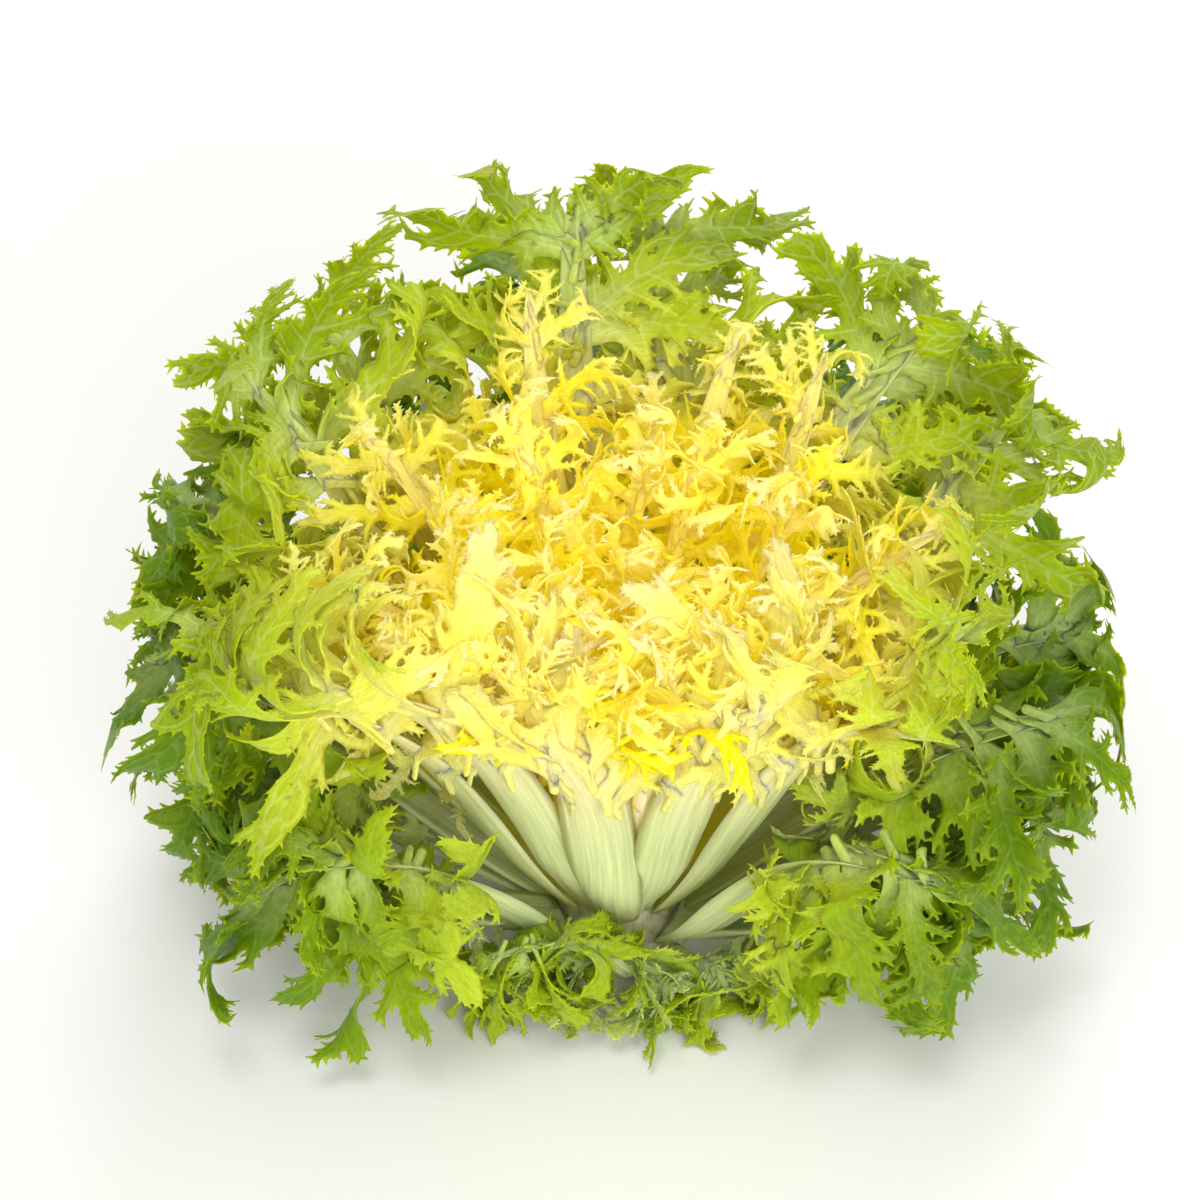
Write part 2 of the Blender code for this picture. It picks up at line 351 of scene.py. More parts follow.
def level_at(points, strokes, blend):
    """Below zero inside the form: its branches joined with round hollows, its teeth with sharper ones."""
    away, half = from_strokes(points, strokes)
    gaps = away - half
    tooth = strokes[:, 6] == TOOTH
    branch = strokes[~tooth, 6]
    first = np.flatnonzero(np.diff(branch, prepend=TOOTH))
    branches = np.minimum.reduceat(gaps[:, ~tooth], first, axis=1)
    body = np.logaddexp.reduce(-branches / blend, axis=1) * blend
    whole = np.concatenate([body[:, None], -gaps[:, tooth]], axis=1) / TOOTH_BLEND
    return -TOOTH_BLEND * np.logaddexp.reduce(whole, axis=1)


GRID_STEP = 0.4
GRID_MARGIN = 5


def outlines(shape, strokes):
    """The closed outlines of a form, where its level crosses zero on a grid of triangles."""
    low = strokes[:, :4].reshape(-1, 2).min(axis=0) - GRID_MARGIN
    high = strokes[:, :4].reshape(-1, 2).max(axis=0) + GRID_MARGIN
    across, up = np.ceil((high - low) / GRID_STEP).astype(int)
    grid = low + GRID_STEP * np.stack(np.meshgrid(np.arange(across), np.arange(up), indexing="ij"), -1)
    grid = grid.reshape(-1, 2)
    level = level_at(grid, strokes, shape.blend)
    spot = np.arange(across * up).reshape(across, up)
    a, b, c, d = spot[:-1, :-1], spot[1:, :-1], spot[1:, 1:], spot[:-1, 1:]
    halves = (np.stack(corners, -1).reshape(-1, 3) for corners in ((a, b, c), (a, c, d)))
    triangles = np.concatenate(list(halves))
    inside = level[triangles] < 0
    mixed = inside.any(axis=1) & ~inside.all(axis=1)
    ends = triangles[mixed][:, [[0, 1], [1, 2], [2, 0]]]
    crossed = (level[ends] < 0).sum(axis=2) == 1
    ends = np.sort(ends, axis=2)
    links = (ends[..., 0] * len(grid) + ends[..., 1])[crossed].reshape(-1, 2)
    near = {}
    for one, other in links.tolist():
        near.setdefault(one, []).append(other)
        near.setdefault(other, []).append(one)
    loops = []
    while near:
        before, here = None, next(iter(near))
        loop = []
        while here in near:
            loop.append(here)
            both = near.pop(here)
            before, here = here, both[0] if both[0] != before else both[1]
        low_end, high_end = np.divmod(np.array(loop), len(grid))
        share = level[low_end] / (level[low_end] - level[high_end])
        loops.append(grid[low_end] + (grid[high_end] - grid[low_end]) * share[:, None])
    return loops


OUTLINE_ERROR = 0.10
LONGEST_EDGE = 2.6
THINNINGS = 14


def thinned(loop):
    """The outline without the points that lie nearly on the line between their neighbours."""
    for _ in range(THINNINGS):
        before, after = np.roll(loop, 1, axis=0), np.roll(loop, -1, axis=0)
        chord, arm = after - before, loop - before
        span = np.linalg.norm(chord, axis=1)
        off = np.abs(chord[:, 0] * arm[:, 1] - chord[:, 1] * arm[:, 0]) / np.maximum(span, TINY)
        least = (off <= np.roll(off, 1)) & (off < np.roll(off, -1))
        loop = loop[~(least & (off < OUTLINE_ERROR) & (span < LONGEST_EDGE))]
    return loop


def within(points, start, end):
    """Whether each point is inside the outlines whose edges run from start to end: the even-odd rule."""
    x, y = points[:, :1], points[:, 1:]
    spans = (start[:, 1] > y) != (end[:, 1] > y)
    rise = np.where(end[:, 1] == start[:, 1], 1.0, end[:, 1] - start[:, 1])
    meets = start[:, 0] + (y - start[:, 1]) / rise * (end[:, 0] - start[:, 0])
    return (spans & (x < meets)).sum(axis=1) % 2 == 1


@dataclass
class Form:
    """A flat lobe as a mesh, with its rim as directed edges.

    Each point has its distance from the veins and its depth inside the edge. gather adds what the triangles
    hold up at their corners.
    """

    length: float
    points: np.ndarray
    triangles: np.ndarray
    rim: np.ndarray
    vein: np.ndarray
    depth: np.ndarray
    gather: np.ndarray


SMALLEST_OUTLINE = 9
INNER_STEP = 2.2
INNER_SCATTER = 0.4
INNER_DEPTH = 0.35
BESIDE_VEIN = 0.9
LEAST_BESIDE_VEIN = 0.8 * BESIDE_VEIN
MERGE_DISTANCE = 1e-5


def points_inside(body, low, high, rng):
    """Points for the inside of a form: a loose grid, and rows close beside the veins."""
    along = unit(body[:, 2:4] - body[:, :2])
    aside = np.stack([-along[:, 1], along[:, 0]], -1) * BESIDE_VEIN
    beside = np.concatenate([body[:, 2 * k:2 * k + 2] + sign * aside for k in (0, 1) for sign in (-1, 1)])
    beside = np.unique(beside.round(1), axis=0)
    across, up = (np.arange(low[axis], high[axis], INNER_STEP) for axis in (0, 1))
    fill = np.stack(np.meshgrid(across, up, indexing="ij"), -1).reshape(-1, 2)
    fill = fill + rng.uniform(-INNER_SCATTER, INNER_SCATTER, fill.shape)
    return np.concatenate([fill[from_strokes(fill, body)[0].min(axis=1) > 2 * BESIDE_VEIN],
                           beside[from_strokes(beside, body)[0].min(axis=1) > LEAST_BESIDE_VEIN]])


def form_of(shape, seed):
    """A form drawn from this seed."""
    rng = np.random.default_rng(seed)
    strokes = strokes_of(shape, rng)
    loops = [thinned(loop) for loop in outlines(shape, strokes)]
    loops = [loop for loop in loops if len(loop) >= SMALLEST_OUTLINE]
    start = np.concatenate(loops)
    end = np.concatenate([np.roll(loop, -1, axis=0) for loop in loops])
    starts = np.cumsum([0] + [len(loop) for loop in loops])
    edges = [(first + k, first + (k + 1) % (last - first))
             for first, last in zip(starts[:-1], starts[1:]) for k in range(last - first)]
    body = strokes[strokes[:, 6] != TOOTH]
    veins, links = np.unique(body[:, :4].reshape(-1, 2).round(3), axis=0, return_inverse=True)
    inner = np.concatenate([veins, points_inside(body, start.min(axis=0), start.max(axis=0), rng)])
    kept = (level_at(inner, strokes, shape.blend) < -INNER_DEPTH) & within(inner, start, end)
    number = len(start) + np.cumsum(kept) - 1
    links = links.reshape(-1, 2)
    edges += number[links[kept[links].all(axis=1)]].tolist()
    flat = [Vector(p) for p in np.concatenate([start, inner[kept]]).tolist()]
    points, _, faces, *_ = delaunay_2d_cdt(flat, edges, [], 0, MERGE_DISTANCE)
    points = np.array([tuple(p) for p in points])
    triangles = np.array(faces)
    triangles = triangles[within(points[triangles].mean(axis=1), start, end)]
    used, triangles = np.unique(triangles, return_inverse=True)
    points, triangles = points[used], triangles.reshape(-1, 3)
    a, b, c = (points[triangles[:, k]] for k in range(3))
    turned = (b - a)[:, 0] * (c - a)[:, 1] - (b - a)[:, 1] * (c - a)[:, 0] < 0
    triangles[turned] = triangles[turned][:, ::-1]
    sides = triangles[:, [[0, 1], [1, 2], [2, 0]]].reshape(-1, 2)
    forward = sides[:, 0] * len(points) + sides[:, 1]
    backward = sides[:, 1] * len(points) + sides[:, 0]
    rim = sides[~np.isin(forward, backward)]
    depth = np.maximum(-level_at(points, strokes, shape.blend), 0)
    depth[np.unique(rim)] = 0
    vein = from_strokes(points, body)[0].min(axis=1)
    gather = np.zeros((len(points), len(triangles)))
    for corner in range(3):
        gather[triangles[:, corner], np.arange(len(triangles))] = 1
    return Form(shape.length, points, triangles, rim, vein, depth, gather)


# ---------------------------------------------------------------- the rib, along the middle of the CAD leaf

ROW_POINTS = 10
RIB_STATIONS = 33
RIB_SWAY = 3 * MM
SIDE_SWAY_PHASE = 5
FACE_SWAY_PHASE = 6
TOWARDS_HEART = 0.01
RIB_WIDTHS = ((0, 0.1, 0.3, 0.5, 0.75, 0.92, 1), (0.75, 0.95, 1.05, 1.00, 0.70, 0.40, 0.08))
RIB_THICKNESSES = ((0, 0.3, 0.7, 1), (1, 0.9, 0.40, 0.20))


def plate_rows(node):
    """The middles of the rows of points that a CAD leaf's plate has from foot to tip, and the ways across."""
    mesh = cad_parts[node].data
    points = np.empty(len(mesh.vertices) * 3)
    mesh.vertices.foreach_get("co", points)
    points, index = np.unique(points.reshape(-1, 3).round(6), axis=0, return_inverse=True)
    index = index.reshape(-1)
    ends = np.empty(len(mesh.edges) * 2, np.int64)
    mesh.edges.foreach_get("vertices", ends)
    ends = index[ends].reshape(-1, 2)
    reached = np.zeros(len(points), bool)
    row = np.argsort(np.linalg.norm(points, axis=1))[:ROW_POINTS]
    rows = []
    while len(row):
        reached[row] = True
        rows.append(points[row])
        touching = ends[reached[ends].any(axis=1)].reshape(-1)
        row = np.unique(touching[~reached[touching]])
    middles = np.array([r.mean(axis=0) for r in rows])
    across = []
    for r, middle in zip(rows, middles):
        far = r[np.argmax(np.linalg.norm(r - middle, axis=1))]
        away = r[np.argmax(np.linalg.norm(r - far, axis=1))]
        across.append(unit(away - far))
    across = np.array(across)
    for k in range(1, len(across)):
        if across[k] @ across[k - 1] < 0:
            across[k] *= -1
    return middles, across


@dataclass
class Rib:
    """Stations along a rib. Its faces point to the heart of the head."""

    at: np.ndarray
    points: np.ndarray
    ahead: np.ndarray
    sides: np.ndarray
    faces: np.ndarray
    half: np.ndarray
    thick: np.ndarray


def rib_of(node, style, rng):
    """The rib of the leaf that stands for this node: along the plate's middle, with a slight sway."""
    middles, across = plate_rows(node)
    at = np.linspace(0, 1, RIB_STATIONS)
    points = smooth_between(middles, at)
    sides = unit(smooth_between(across, at))
    ahead = unit(np.gradient(points, axis=0))
    faces = unit(np.cross(ahead, sides))
    inward = -points[0] * (1, 1, 0) + (0, 0, TOWARDS_HEART)
    if faces[:4].mean(axis=0) @ inward < 0:
        sides, faces = -sides, -faces
    sway = rng.uniform(0, 2 * math.pi, 2)
    points = points + sides * (RIB_SWAY * at * np.sin(sway[0] + SIDE_SWAY_PHASE * at))[:, None]
    points = points + faces * (RIB_SWAY * at * np.sin(sway[1] + FACE_SWAY_PHASE * at))[:, None]
    half = style.rib_half * np.interp(at, *RIB_WIDTHS)
    thick = style.rib_thick * np.interp(at, *RIB_THICKNESSES)
    return Rib(at, points, unit(np.gradient(points, axis=0)), sides, faces, half, thick)


# ---------------------------------------------------------------- lobes

LOBE_STEPS = 18
LOBE_SCATTER = 0.38
LAST_LOBE = 0.985
LOBE_SIZES = (0.8, 1.15)
LOBE_INSET = 0.6
SPREAD_POWER = 2.5
ANGLE_SPREAD = 0.12
TILT_SPREAD = 0.40
FRONT_INWARD = 0.32
INWARD_CURL = 2
BEND_GROWTH = (0.3, 1.4)
WAVE = 0.9
CURL_PHASE = 7
TURN_PHASE = 6
FRIZZ_STATIONS = 7
FRIZZ_BIAS = 0.25


@dataclass
class Lobes:
    """The lobes of one leaf: axes as (lobes, stations) arrays, and each lobe's size and curls."""

    points: np.ndarray
    sides: np.ndarray
    faces: np.ndarray
    size: np.ndarray
    place: np.ndarray
    mirror: np.ndarray
    frizz: np.ndarray


def grow(rib, shape, how, rng):
    """The lobes of a leaf: each leaves the rib at its own angle, then bends, turns and twists."""
    frontness = -rib.points[-1, 1] / math.hypot(*rib.points[-1, :2])
    total = 2 * how.per_side
    slot = np.repeat(np.arange(how.per_side), 2)
    side = np.tile((-1.0, 1.0), how.per_side)
    share = (slot + 0.5 + rng.uniform(-LOBE_SCATTER, LOBE_SCATTER, total)) / how.per_side
    at = how.first + (LAST_LOBE - how.first) * share
    station = at * (RIB_STATIONS - 1)
    low = np.minimum(station.astype(int), RIB_STATIONS - 2)
    part = (station - low)[:, None]
    base, ahead, across, face = (v[low] * (1 - part) + v[low + 1] * part
                                 for v in (rib.points, rib.ahead, rib.sides, rib.faces))
    half_there = np.interp(at, rib.at, rib.half)
    across = across * side[:, None]
    size = spaced(how.envelope, share) * rng.uniform(*LOBE_SIZES, total)
    length = shape.length * MM * size
    angle = how.spread[0] + (how.spread[1] - how.spread[0]) * share**SPREAD_POWER
    angle = angle + rng.normal(0, ANGLE_SPREAD, total)
    inward = how.inward + FRONT_INWARD * frontness
    lift = rng.normal(inward, how.lift, total)
    heading = unit(ahead * np.cos(angle)[:, None] + across * np.sin(angle)[:, None] + face * lift[:, None])
    tilt = rng.normal(0, TILT_SPREAD, total)
    beside = unit(np.cross(face, heading))
    up = np.cross(heading, beside)
    up = unit(up * np.cos(tilt)[:, None] + beside * np.sin(tilt)[:, None])
    curl, turn, twist = (rng.normal(0, bend, total) for bend in (how.curl, how.turn, how.twist))
    curl = curl + INWARD_CURL * inward
    phase = rng.uniform(0, 2 * math.pi, (total, 2))
    axis, sides, faces = (np.empty((total, LOBE_STEPS + 1, 3)) for _ in range(3))
    here, forward = base + across * (half_there * LOBE_INSET)[:, None], heading
    for k in range(LOBE_STEPS + 1):
        sideways = np.cross(up, forward)
        axis[:, k], sides[:, k], faces[:, k] = here, sideways, up
        s = (k + 0.5) / LOBE_STEPS
        grip = (BEND_GROWTH[0] + BEND_GROWTH[1] * s) / LOBE_STEPS
        bend = curl * grip + WAVE * how.curl * np.sin(phase[:, 0] + CURL_PHASE * s) / LOBE_STEPS
        yaw = turn * grip + WAVE * how.turn * np.sin(phase[:, 1] + TURN_PHASE * s) / LOBE_STEPS
        forward = unit(forward + up * bend[:, None] + sideways * yaw[:, None]
                       + np.array((0, 0, -how.droop / LOBE_STEPS)))
        roll = (twist * grip)[:, None]
        up = up * np.cos(roll) + np.cross(up, forward) * np.sin(roll)
        up = unit(up - forward * (up * forward).sum(axis=1)[:, None])
        here = here + forward * (length / LOBE_STEPS)[:, None]
    frizz = rng.normal(FRIZZ_BIAS * how.frizz, how.frizz, (total, 2, FRIZZ_STATIONS))
    return Lobes(axis, sides, faces, size, at, side, frizz)


STRAIGHTEST = 1e-3
BLADE_FOLD = 0.10


def along_axis(values, low, part):
    return values[:, low] * (1 - part) + values[:, low + 1] * part


def bent(form, lobes, which, shape):
    """The form's middle surface, bent along each of these lobes: (lobes, points, 3)."""
    share = form.points[:, 0] / form.length
    station = share * LOBE_STEPS
    low = np.clip(np.floor(station).astype(int), 0, LOBE_STEPS - 1)
    part = (station - low)[:, None]
    here, sides, faces = (along_axis(v[which], low, part) for v in (lobes.points, lobes.sides, lobes.faces))
    sides, faces = unit(sides), unit(faces)
    scale = lobes.size[which][:, None] * MM
    across = form.points[None, :, 1] * scale * lobes.mirror[which][:, None]
    spot = np.clip(share, 0, 1) * (FRIZZ_STATIONS - 1)
    weights = np.maximum(1 - np.abs(spot[:, None] - np.arange(FRIZZ_STATIONS)), 0)
    widest = (shape.cut_length + shape.half) * MM
    left, right = ((lobes.frizz[which][:, side] @ weights.T) / widest for side in (0, 1))
    curve = np.where(across > 0, right, left)
    curve = np.where(np.abs(curve) < STRAIGHTEST, STRAIGHTEST, curve)
    flat = np.sin(curve * across) / curve
    rise = (1 - np.cos(curve * across)) / curve
    rise = rise + BLADE_FOLD * np.abs(across)
    return here + sides * flat[..., None] + faces * rise[..., None]


# ---------------------------------------------------------------- meshes

@dataclass
class Skin:
    """A closed mesh: points, triangles, a UV for each corner, and what colours the leaf at each point."""

    points: np.ndarray
    triangles: np.ndarray
    uv: np.ndarray
    grain: np.ndarray
    vein: np.ndarray
    place: np.ndarray
    blade: np.ndarray
    tip: np.ndarray
    shade: np.ndarray


RIB_COLUMNS = 11
RIB_BAND = 0.12
RIB_BAND_FILL = (0.98, 0.96 * RIB_BAND)
RIB_BAND_MARGIN = 0.01
CAP_SPOTS = (0.25, 0.75)
CAP_SIZE = (0.02, 0.012)
RIDGE_HEIGHT = 0.16
RIDGE_PHASE = 4.5 * math.pi
RIB_BACK = 0.62
RIB_FACE = 0.38
RIB_CHANNEL = 0.30
RIB_SQUARENESS = 2.4
RIB_FULLNESS = 0.7
RIB_TIP_BLADE = 0.45
RIB_BLADE_SLOPE = 1.6
RIB_BLADE_START = -0.5
RIB_GRAIN = (0.12, 0.85, 7.0)
FAR_FROM_VEIN = 2.0


def rib_skin(rib):
    """A rounded rib with shallow ridges along its back and a channel along its face."""
    across = np.linspace(-1, 1, RIB_COLUMNS)
    inner = across[1:-1]
    ring = np.concatenate([across, inner[::-1]])
    back = np.concatenate([np.zeros(RIB_COLUMNS), np.ones(len(inner))])
    fleshy = (1 - np.abs(ring) ** RIB_SQUARENESS) ** RIB_FULLNESS
    ridges = back * RIDGE_HEIGHT * np.cos(ring * RIDGE_PHASE) * (1 - ring**2)
    height = np.where(back > 0, -RIB_BACK * fleshy - ridges, RIB_FACE * fleshy)
    width = rib.half[:, None] * ring
    rise = height * rib.thick[:, None] + RIB_CHANNEL * ring**2 * rib.half[:, None]
    points = rib.points[:, None] + rib.sides[:, None] * width[..., None]
    points = points + rib.faces[:, None] * rise[..., None]
    m = len(ring)
    number = np.arange(RIB_STATIONS * m).reshape(RIB_STATIONS, m)
    beside = np.roll(number, -1, axis=1)
    a, b, c, d = number[:-1], beside[:-1], beside[1:], number[1:]
    walls = np.stack([np.stack([a, b, c], -1), np.stack([a, c, d], -1)], axis=2).reshape(-1, 3)
    k, j = np.meshgrid(np.arange(RIB_STATIONS - 1), np.arange(m), indexing="ij")
    corner = [np.stack([(j + dj) / m, (k + dk) / RIB_STATIONS], -1)
              for dj, dk in ((0, 0), (1, 0), (1, 1), (0, 1))]
    halves = [np.stack([corner[i] for i in half], axis=2) for half in ((0, 1, 2), (0, 2, 3))]
    wall_uv = np.stack(halves, axis=2).reshape(-1, 3, 2)
    fan = np.arange(1, m - 1)
    foot = np.stack([number[0, [0] * len(fan)], number[0, fan + 1], number[0, fan]], -1)
    tip = np.stack([number[-1, [0] * len(fan)], number[-1, fan], number[-1, fan + 1]], -1)
    turn = 2 * math.pi * np.arange(m) / m
    disc = np.stack([CAP_SIZE[0] * np.cos(turn), CAP_SIZE[1] * np.sin(turn)], -1)
    last_row = (RIB_STATIONS - 0.5) / RIB_STATIONS
    foot_uv = disc[foot] + (CAP_SPOTS[0], last_row)
    tip_uv = disc[tip - number[-1, 0]] + (CAP_SPOTS[1], last_row)
    uv = np.concatenate([wall_uv, foot_uv, tip_uv]) * RIB_BAND_FILL + RIB_BAND_MARGIN
    shape = (RIB_STATIONS, m)
    at = np.broadcast_to(rib.at[:, None], shape).reshape(-1)
    steps = np.diff(rib.points, axis=0, prepend=rib.points[:1])
    run = np.cumsum(np.linalg.norm(steps, axis=1)) / MM
    lengthwise = np.broadcast_to(RIB_GRAIN[0] * run[:, None], shape)
    grain = np.stack([lengthwise, RIB_GRAIN[1] * width / MM, np.full(shape, RIB_GRAIN[2])], -1)
    zero = np.zeros(len(at))
    return Skin(points=points.reshape(-1, 3), triangles=np.concatenate([walls, foot, tip]), uv=uv,
                grain=grain.reshape(-1, 3), vein=zero + FAR_FROM_VEIN, place=at,
                blade=RIB_TIP_BLADE * np.clip(at * RIB_BLADE_SLOPE + RIB_BLADE_START, 0, 1),
                tip=zero, shade=zero + 1)


VEIN_RISE = 0.55 * MM
VEIN_HALF = 0.45
VEIN_FADE = 0.6
EDGE_THICKNESS = 0.30
EDGE_WIDTH = 1.2
FOOT_FLESH = 1.2
FOOT_FADE = 0.2
UV_MARGIN = 1
UV_WALL = 0.5
GRAIN_RANGE = 50
TIP_FROM = (0.75, 0.45)
BLADE_FROM = (0.35, 1.3, 0.8)
SHADE_SPREAD = 0.06


def lobe_skins(form, lobes, which, style, cell_size, cells, rng):
    """The closed skins of all the lobes that share a form."""
    middle = bent(form, lobes, which, style.shape)
    count, n = middle.shape[:2]
    mirrored = lobes.mirror[which] < 0
    a, b, c = (middle[:, form.triangles[:, k]] for k in range(3))
    normals = np.einsum("nt,ltk->lnk", form.gather, np.cross(b - a, c - a), optimize=True)
    normals = unit(normals) * np.where(mirrored, -1, 1)[:, None, None]
    share = np.clip(form.points[:, 0] / form.length, 0, 1)
    fleshy = 1 + FOOT_FLESH * np.exp(-share / FOOT_FADE)
    filled = EDGE_THICKNESS + (1 - EDGE_THICKNESS) * np.minimum(form.depth / EDGE_WIDTH, 1)
    thick = style.blade_thick * filled * fleshy
    thick = thick + VEIN_RISE * np.exp(-(form.vein / VEIN_HALF) ** 2) * (1 - VEIN_FADE * share)
    scale = lobes.size[which][:, None] ** 0.5
    offset = normals * (0.5 * thick * scale)[..., None]
    points = np.concatenate([middle + offset, middle - offset], axis=1)
    rim_a, rim_b = form.rim[:, 0], form.rim[:, 1]
    top, under = form.triangles, form.triangles[:, ::-1] + n
    wall = np.concatenate([np.stack([rim_a, rim_a + n, rim_b + n], -1),
                           np.stack([rim_a, rim_b + n, rim_b], -1)])
    triangles = np.concatenate([top, under, wall])
    triangles = np.where(mirrored[:, None, None], triangles[:, ::-1], triangles)
    triangles = triangles + (np.arange(count) * 2 * n)[:, None, None]
    low, high = form.points.min(axis=0) - UV_MARGIN, form.points.max(axis=0) + UV_MARGIN
    flat = (form.points - low) / (high - low)
    out = unit((form.points[rim_b] - form.points[rim_a])[:, ::-1] * (1, -1)) * UV_WALL / (high - low)
    wall_uv = np.concatenate([np.stack([flat[rim_a], flat[rim_a] + out, flat[rim_b] + out], axis=1),
                              np.stack([flat[rim_a], flat[rim_b] + out, flat[rim_b]], axis=1)])
    upper = np.concatenate([flat[top], wall_uv]) * cell_size
    lower = flat[form.triangles[:, ::-1]] * cell_size
    uv = np.concatenate([upper[None, :len(top)] + cells[0][:, None, None],
                         lower[None] + cells[1][:, None, None],
                         upper[None, len(top):] + cells[0][:, None, None]], axis=1)
    uv = np.where(mirrored[:, None, None, None], uv[:, :, ::-1], uv)
    both = np.tile(form.points, (2, 1))
    grain = np.concatenate([np.broadcast_to(both, (count, 2 * n, 2)),
                            np.broadcast_to(rng.uniform(0, GRAIN_RANGE, (count, 1, 1)), (count, 2 * n, 1))],
                           axis=-1)
    reach = np.clip(np.abs(both[:, 1]) / (style.shape.cut_length + style.shape.half), 0, 1)
    run = np.tile(share, 2)
    fields = {
        "vein": np.tile(form.vein, 2),
        "place": lobes.place[which][:, None],
        "blade": np.clip(BLADE_FROM[0] + BLADE_FROM[1] * run + BLADE_FROM[2] * reach, 0, 1),
        "tip": np.clip(TIP_FROM[0] * run + TIP_FROM[1] * reach, 0, 1),
        "shade": rng.normal(1, SHADE_SPREAD, (count, 1)),
    }
    fields = {name: np.broadcast_to(values, (count, 2 * n)).reshape(-1) for name, values in fields.items()}
    return Skin(points=points.reshape(-1, 3), triangles=triangles.reshape(-1, 3), uv=uv.reshape(-1, 3, 2),
                grain=grain.reshape(-1, 3), **fields)


def joined(skins):
    """One mesh from many."""
    starts = np.cumsum([0] + [len(skin.points) for skin in skins[:-1]])
    triangles = np.concatenate([skin.triangles + start for skin, start in zip(skins, starts)])
    fields = {name: np.concatenate([getattr(skin, name) for skin in skins])
              for name in ("points", "uv", "grain", "vein", "place", "blade", "tip", "shade")}
    return Skin(triangles=triangles, **fields)


def from_ramp(greening, colours):
    """The colours between the ramp's own, for each point's greening."""
    return np.stack([np.interp(greening, GREENING, colours[:, channel]) for channel in range(3)], -1)


def tinted(style, skin):
    """The colour of every point: blanched in the heart and the ribs, greener the more open it stands. The
    gold deep in the head and the cream at the blanched lobes' tips are partly painted light: a painted glow
    and a painted highlight.
    """
    out = np.hypot(skin.points[:, 0], skin.points[:, 1])
    out = out + HEIGHT_SHARE * np.maximum(skin.points[:, 2] - GREEN_HEIGHT, 0)
    greening = style.exposure + np.clip((out - GREEN_FROM) / (GREEN_TO - GREEN_FROM), 0, 1)
    hearted = float(style.exposure < 0)
    greening = greening + LOW_GREENING * (1 - hearted) * np.clip(1 - skin.place / LOW_PART, 0, 1)
    risen = np.clip((skin.place - RISEN_FROM) / RISING + hearted, 0, 1)[:, None]
    blade = skin.blade[:, None] * (LEAST_BLADE + (1 - LEAST_BLADE) * risen)
    # Painted highlight: the lobes' tips take the tip colours. In the heart this is a cream that is partly the
    # tips' own colour and partly the highlight of their lit faces.
    ends = np.clip(skin.tip * ENDS_SLOPE + ENDS_START, 0, 1)[:, None] * risen
    rib = RIB_WHITE * (1 - risen) + from_ramp(greening, RIB_COLOURS) * risen
    colour = rib * (1 - blade) + from_ramp(greening, BLADE_COLOURS) * blade
    colour = colour * (1 - ends) + from_ramp(greening, TIP_COLOURS) * ends
    # Painted light: the gold deep in the head is partly the blades' own blanched colour, and partly a glow
    # that stands for light coming through the leaves and lifts their shade.
    deep = np.clip((GOLD_TOP - skin.place - GOLD_TIP_LOSS * skin.tip) / GOLD_FADE, 0, 1)
    deep = deep * np.clip(1 - GOLD_GREEN_LOSS * greening, 0, 1)
    deep = deep * (OPEN_GOLD + (1 - OPEN_GOLD) * hearted) * skin.blade
    colour = colour * (1 - deep[:, None]) + GOLD * deep[:, None]
    return np.clip(colour * skin.shade[:, None], 0, 1)


# Blades that grew too far out are drawn in softly: from REACH_SLACK past the rib's own reach, from BOX_SLACK
# past the sides of the CAD's box, and from FLOOR_SOFTNESS over the floor.
FLOOR_CLEARANCE = 0.8 * MM
FLOOR_SOFTNESS = 4 * MM
BOX_SLACK = (1 * MM, 4 * MM, 6 * MM)
BOX_SOFTNESS = 10 * MM
REACH_SLACK = 3 * MM
REACH_SOFTNESS = 14 * MM


def kept_near(points, reach):
    """The points, drawn in to near this distance from the head's foot, to the CAD's box and off the floor."""
    out = np.linalg.norm(points, axis=1)
    past = np.maximum(out - reach, 0)
    drawn_in = past - REACH_SOFTNESS * (1 - np.exp(-past / REACH_SOFTNESS))
    points = points * (1 - drawn_in / np.maximum(out, MM))[:, None]
    low, high = (np.array(corner) for corner in CAD_BOX)
    for axis in range(3):
        over = points[:, axis] - high[axis] - BOX_SLACK[axis]
        under = low[axis] - BOX_SLACK[axis] - points[:, axis]
        for past, sign in ((over, -1), (under, 1)):
            far = past > 0
            drawn_in = past[far] - BOX_SOFTNESS * (1 - np.exp(-past[far] / BOX_SOFTNESS))
            points[far, axis] += sign * drawn_in
    near = points[:, 2] < FLOOR_SOFTNESS
    span = FLOOR_SOFTNESS - FLOOR_CLEARANCE
    points[near, 2] = FLOOR_CLEARANCE + span * np.exp((points[near, 2] - FLOOR_SOFTNESS) / span)
    return points


def add_mesh(name, skin, colour, reach):
    """The skin as an object, with the attributes that its material reads."""
    mesh = bpy.data.meshes.new(name)
    mesh.vertices.add(len(skin.points))
    mesh.vertices.foreach_set("co", kept_near(skin.points, reach).astype(np.float32).ravel())
    mesh.loops.add(skin.triangles.size)
    mesh.loops.foreach_set("vertex_index", skin.triangles.astype(np.int32).ravel())
    mesh.polygons.add(len(skin.triangles))
    mesh.polygons.foreach_set("loop_start", np.arange(0, skin.triangles.size, 3, dtype=np.int32))
    mesh.update(calc_edges=True)
    mesh.uv_layers.new(name="OFBake").uv.foreach_set("vector", skin.uv.astype(np.float32).ravel())
    rgba = np.concatenate([colour, np.ones((len(colour), 1))], axis=1)
    for field, kind, member, values in (
        ("tint", "FLOAT_COLOR", "color", rgba),
        ("grain", "FLOAT_VECTOR", "vector", skin.grain),
        ("vein", "FLOAT", "value", skin.vein),
    ):
        mesh.attributes.new(field, kind, "POINT").data.foreach_set(member, values.astype(np.float32).ravel())
    mesh.shade_smooth()
    made = bpy.data.objects.new(name, mesh)
    bpy.context.scene.collection.objects.link(made)
    return made


